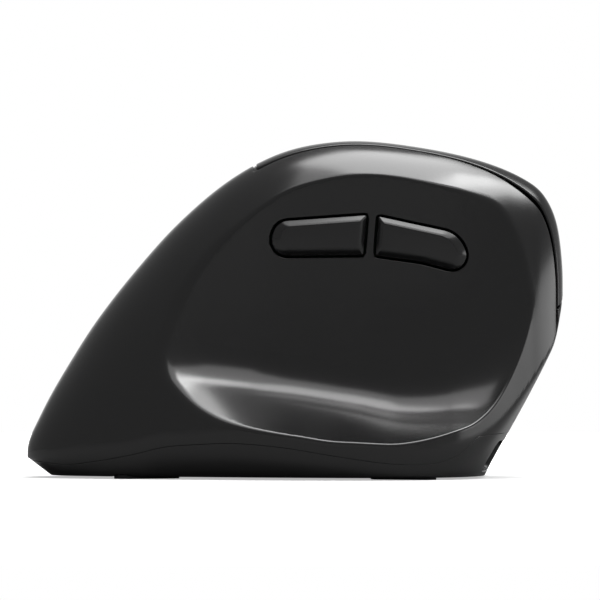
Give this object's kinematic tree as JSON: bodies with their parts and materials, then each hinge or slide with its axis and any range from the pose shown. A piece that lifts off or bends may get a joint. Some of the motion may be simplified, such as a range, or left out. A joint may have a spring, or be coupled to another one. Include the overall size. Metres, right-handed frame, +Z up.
{
  "type": "ergonomic mouse",
  "caption": "Vertical left-handed cordless mouse with a thumb scoop, bevelled thumb buttons, finger keys and a scroll wheel.",
  "frame": {"origin": "on the desk, under the middle of the body's box", "axes": "+X towards the nose, -Y towards the thumb, +Y towards the fingers, +Z up"},
  "size_m": [0.1198, 0.0627, 0.0752],
  "materials": {
    "shell_plastic": "satin",
    "key_plastic": "satin",
    "thumb_button_plastic": "satin",
    "trim_plastic": "satin",
    "inner_plastic": "matte",
    "tyre_rubber": "matte",
    "board": "satin",
    "chip_plastic": "matte",
    "switch_plastic": "matte",
    "steel": "plain",
    "battery_wrap": "gloss",
    "clear_plastic": "clear",
    "glide_plastic": "slick",
    "ribbon_plastic": "gloss"
  },
  "bodies": {
    "housing": {"main_housing": "shell_plastic", "base_plate": "shell_plastic", "finger_frame": "trim_plastic", "port_bezel": "trim_plastic", "thumb_posts": "inner_plastic", "thumb_board": "board", "thumb_screws": "steel", "back_switch": "switch_plastic", "forward_switch": "switch_plastic", "finger_board": "board", "index_switch": "switch_plastic", "middle_switch": "switch_plastic", "wheel_switch": "switch_plastic", "dpi_switch": "switch_plastic", "carrier_posts": "inner_plastic", "carrier_pin": "steel", "main_board": "board", "main_chips": "chip_plastic", "sensor_chip": "chip_plastic", "sensor_lens": "clear_plastic", "usb_port": "steel", "battery": "battery_wrap", "battery_cradle": "inner_plastic", "power_switch_body": "inner_plastic", "glide_feet": "glide_plastic", "base_screws": "steel", "board_screws": "steel", "frame_screws": "steel", "finger_ribbon": "ribbon_plastic", "thumb_ribbon": "ribbon_plastic"},
    "index_key": {"index_button": "key_plastic"},
    "middle_key": {"middle_button": "key_plastic"},
    "back_key": {"back_button": "thumb_button_plastic"},
    "forward_key": {"forward_button": "thumb_button_plastic"},
    "dpi_key": {"dpi_button": "trim_plastic"},
    "carrier": {"wheel_carrier": "inner_plastic", "wheel_encoder": "inner_plastic"},
    "wheel": {"wheel_tyre": "tyre_rubber", "wheel_hub": "inner_plastic", "wheel_axle": "steel"},
    "power_knob": {"power_slider": "inner_plastic"},
    "receiver": {"receiver_shell": "inner_plastic", "receiver_plug": "steel"},
    "index_stem": {"index_plunger": "switch_plastic"},
    "middle_stem": {"middle_plunger": "switch_plastic"},
    "back_stem": {"back_plunger": "switch_plastic"},
    "forward_stem": {"forward_plunger": "switch_plastic"},
    "dpi_stem": {"dpi_plunger": "switch_plastic"},
    "wheel_stem": {"wheel_plunger": "switch_plastic"}
  },
  "joints": [
    {"name": "index_press", "type": "hinge", "parent": "housing", "child": "index_key", "pos_m": [-0.008, 0.01915, 0.04525], "axis": [0, 0.3746, -0.9272], "range_deg": [0, 0.4], "stiffness_Nm_per_rad": 1.5, "springref_deg": -0.57},
    {"name": "middle_press", "type": "hinge", "parent": "housing", "child": "middle_key", "pos_m": [-0.008, 0.01915, 0.04525], "axis": [0, 0.3746, -0.9272], "range_deg": [0, 0.4], "stiffness_Nm_per_rad": 1.5, "springref_deg": -0.57},
    {"name": "back_press", "type": "slide", "parent": "housing", "child": "back_key", "axis": [0, 0.9903, 0.1392], "range_m": [0, 0.0007], "stiffness_N_per_m": 500, "springref_m": -0.0007},
    {"name": "forward_press", "type": "slide", "parent": "housing", "child": "forward_key", "axis": [0, 0.9903, 0.1392], "range_m": [0, 0.0007], "stiffness_N_per_m": 500, "springref_m": -0.0007},
    {"name": "dpi_press", "type": "slide", "parent": "housing", "child": "dpi_key", "axis": [0, -0.9272, -0.3746], "range_m": [0, 0.0005], "stiffness_N_per_m": 600, "springref_m": -0.0006},
    {"name": "wheel_press", "type": "hinge", "parent": "housing", "child": "carrier", "pos_m": [0.0406, 0.00987, 0.04151], "axis": [0, -0.3746, 0.9272], "range_deg": [0, 0.9], "stiffness_Nm_per_rad": 0.8, "springref_deg": -0.86},
    {"name": "wheel_spin", "type": "hinge", "parent": "carrier", "child": "wheel", "pos_m": [0.026, 0.01358, 0.043], "axis": [0, -0.3746, 0.9272], "continuous": true},
    {"name": "power_slide", "type": "slide", "parent": "housing", "child": "power_knob", "axis": [1, 0, 0], "range_m": [0, 0.0025]},
    {"name": "receiver_pull", "type": "slide", "parent": "housing", "child": "receiver", "axis": [0, 0, -1], "range_m": [0, 0.02]},
    {"name": "index_click", "type": "slide", "parent": "housing", "child": "index_stem", "axis": [0, -0.9272, -0.3746], "range_m": [0, 0.0004]},
    {"name": "middle_click", "type": "slide", "parent": "housing", "child": "middle_stem", "axis": [0, -0.9272, -0.3746], "range_m": [0, 0.0004]},
    {"name": "back_click", "type": "slide", "parent": "housing", "child": "back_stem", "axis": [0, 0.9903, 0.1392], "range_m": [0, 0.0007]},
    {"name": "forward_click", "type": "slide", "parent": "housing", "child": "forward_stem", "axis": [0, 0.9903, 0.1392], "range_m": [0, 0.0007]},
    {"name": "dpi_click", "type": "slide", "parent": "housing", "child": "dpi_stem", "axis": [0, -0.9272, -0.3746], "range_m": [0, 0.0005]},
    {"name": "wheel_click", "type": "slide", "parent": "housing", "child": "wheel_stem", "axis": [0, -0.9272, -0.3746], "range_m": [0, 0.0006]}
  ],
  "couplings": [
    {"joint": "index_click", "follows": "index_press", "m_per_rad": 0.043},
    {"joint": "middle_click", "follows": "middle_press", "m_per_rad": 0.043},
    {"joint": "back_click", "follows": "back_press", "ratio": 1},
    {"joint": "forward_click", "follows": "forward_press", "ratio": 1},
    {"joint": "dpi_click", "follows": "dpi_press", "ratio": 1},
    {"joint": "wheel_click", "follows": "wheel_press", "m_per_rad": 0.0316}
  ]
}
